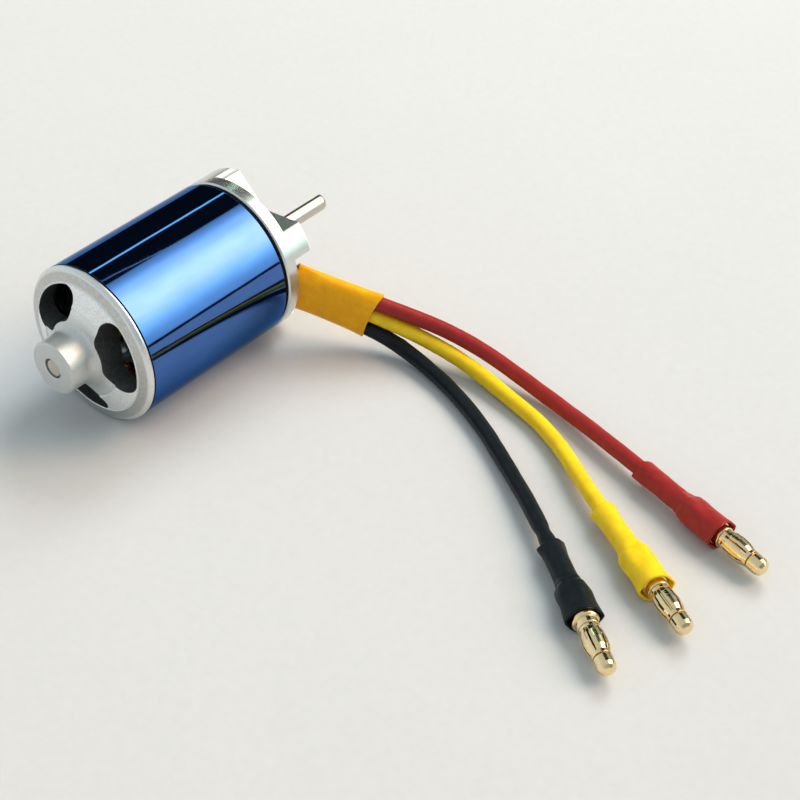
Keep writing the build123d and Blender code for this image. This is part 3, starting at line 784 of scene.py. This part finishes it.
slots = {part["node"]: part["material_slot"] for part in frame["record"]["subparts"]}
for node, obj in frame["nodes"].items():
    dress(obj, MATERIALS[slots[node]])
dress(windings, MATERIALS["copper_wire"])
dress(sleeve, MATERIALS["yellow_sleeve"])
for colour in ROUTES:
    dress(leads[colour], MATERIALS[colour + "_heat_shrink"])
    dress(boots[colour], MATERIALS[colour + "_heat_shrink"])

# ---- floor, world and lights -----------------------------------------------------------------------------
FLOOR_HALF = 1.6             # metres


def make_floor():
    """Pale paper with a fine tooth and faint broad mottling."""
    floor = add_mesh("floor", [(-FLOOR_HALF, -FLOOR_HALF, TABLE), (FLOOR_HALF, -FLOOR_HALF, TABLE),
                               (FLOOR_HALF, FLOOR_HALF, TABLE), (-FLOOR_HALF, FLOOR_HALF, TABLE)],
                     [(0, 1, 2, 3)], smooth=False)
    material, graph, place, shader = new_material("floor_paper")
    paper = graph.noise(place, 1.6 * MM, 4.0, 0.6)
    broad = graph.noise(place, 60 * MM, 2.0)
    tone = graph.math("ADD", graph.times(paper, 0.6), graph.times(broad, 0.4))
    base = graph.mix(graph.ranged(tone, 0.35, 0.65), rgb(0.573, 0.580, 0.578), rgb(0.597, 0.603, 0.601))
    set_inputs(graph, shader, Base_Color=base, Roughness=0.75, Specular_IOR_Level=0.15,
               Normal=graph.bump(paper, 0.12, 0.1 * MM))
    dress(floor, material)


# The world is a pale studio, brighter behind the bell than in front. Beyond the driven end it holds a bright
# warm panel between two dark ones, which the plating mirrors as long bands. Angles run from +Y over the top
# to -Y. dir_x is how far a direction points along +X, from -1 to 1.
BANDS = [  # (angle in degrees, brightness, share of red, share of blue)
    (0, 0.02, 1.0, 1.0), (45.6, 0.02, 1.0, 1.0), (46.2, 3.8, 0.6, 0.8), (48.2, 3.8, 0.6, 0.8),
    (48.8, 0.02, 1.0, 1.0), (77.5, 0.02, 1.0, 1.0), (79, 1.0, 0.8, 0.9), (87, 1.9, 0.85, 0.9),
    (95, 3.3, 1.00, 0.85), (103, 4.1, 1.10, 0.80), (111, 5.2, 1.25, 0.80), (119, 5.8, 1.35, 0.80),
    (127, 5.9, 1.35, 0.80), (135, 5.4, 1.35, 0.80), (143, 4.7, 1.15, 0.80), (151, 3.9, 0.95, 0.85),
    (159, 2.8, 0.80, 0.85), (167, 1.9, 0.75, 0.90), (175, 1.5, 0.80, 1.0), (176.8, 1.4, 0.80, 1.0),
    (177.4, 0.04, 1.0, 1.0), (180, 0.04, 1.0, 1.0),
]
BAND_TOP = 9.0               # the world's strength, which the brightnesses are shares of
PLAIN = (0.90, 1.0, 1.05)    # colour of the studio away from the panels
# A thin line beside the panel: its angle where dir_x is LINE_AT, its lean in radians per unit of dir_x, its
# half width, its brightness, and the values of dir_x between which it ends.
LINE_ANGLE, LINE_AT, LINE_SLOPE, LINE_HALF = math.radians(71), 0.516, 5.0, math.radians(0.55)
LINE_LEVEL, LINE_END = 1.4, (0.545, 0.56)
PANEL_FROM, PANEL_TO = (0.30, 0.44), (0.74, 0.86)            # the panels' fading edges, as values of dir_x


def make_world():
    world = bpy.data.worlds.new("studio")
    world.use_nodes = True
    scene.world = world
    graph = Graph(world.node_tree)
    direction = graph.add("ShaderNodeTexCoord").outputs["Generated"]
    dir_x, dir_y, dir_z = graph.add("ShaderNodeSeparateXYZ", {0: direction}).outputs[:3]
    angle = graph.math("ARCTAN2", dir_z, dir_y)
    ramp = graph.add("ShaderNodeValToRGB", {0: graph.math("DIVIDE", angle, math.pi)})
    stops = ramp.color_ramp.elements
    while len(stops) < len(BANDS):
        stops.new(0.5)
    for stop, (degrees, level, red, blue) in zip(stops, BANDS):
        stop.position = degrees / 180
        stop.color = (level * red / BAND_TOP, level / BAND_TOP, level * blue / BAND_TOP, 1.0)
    slanted = graph.math("MULTIPLY_ADD", dir_x, -LINE_SLOPE, angle)
    line = graph.math("COMPARE", slanted, LINE_ANGLE - LINE_SLOPE * LINE_AT, LINE_HALF)
    line = graph.times(line, graph.ranged(dir_x, *LINE_END, LINE_LEVEL / BAND_TOP, 0.0))
    banded = graph.mix(1.0, ramp.outputs[0], line, "LIGHTEN")
    rise = graph.ranged(dir_x, *PANEL_FROM, smooth=True)
    fall = graph.ranged(dir_x, *PANEL_TO, 1.0, 0.0, smooth=True)
    above = graph.ranged(dir_z, -0.05, 0.0)
    panels = graph.times(graph.times(rise, fall), above)
    behind_bell = graph.ranged(graph.math("SUBTRACT", dir_y, dir_x), -0.4, 1.0, 0.30, 0.84)
    upward = graph.ranged(dir_z, 0.1, 0.8, smooth=True)
    level = graph.add("ShaderNodeMix", {0: upward, 2: behind_bell, 3: 0.62}, data_type="FLOAT").outputs[0]
    plain = graph.mix(1.0, rgb(*[share / BAND_TOP for share in PLAIN]), level, "MULTIPLY")
    background = graph.add("ShaderNodeBackground", {"Color": graph.mix(panels, plain, banded),
                                                    "Strength": BAND_TOP})
    out = graph.add("ShaderNodeOutputWorld")
    graph.tree.links.new(background.outputs[0], out.inputs["Surface"])


KEY_AT, KEY_TO = Vector((0.66, 0.17, 0.64)), Vector((0.0, -0.04, 0.0))
KEY_SIZE, KEY_WATTS, KEY_COLOUR = 0.45, 5.5, (0.95, 0.99, 1.0)


def make_key_light():
    """Soft square lamp above the driven end, which the metal doesn't mirror."""
    data = bpy.data.lights.new("key", "AREA")
    data.shape = "RECTANGLE"
    data.size = data.size_y = KEY_SIZE
    data.energy = KEY_WATTS
    data.color = KEY_COLOUR
    key = bpy.data.objects.new("key", data)
    scene.collection.objects.link(key)
    key.location = KEY_AT
    key.rotation_mode = "QUATERNION"
    key.rotation_quaternion = (KEY_TO - KEY_AT).to_track_quat("-Z", "Y")
    key.visible_glossy = False


make_floor()
make_world()
make_key_light()
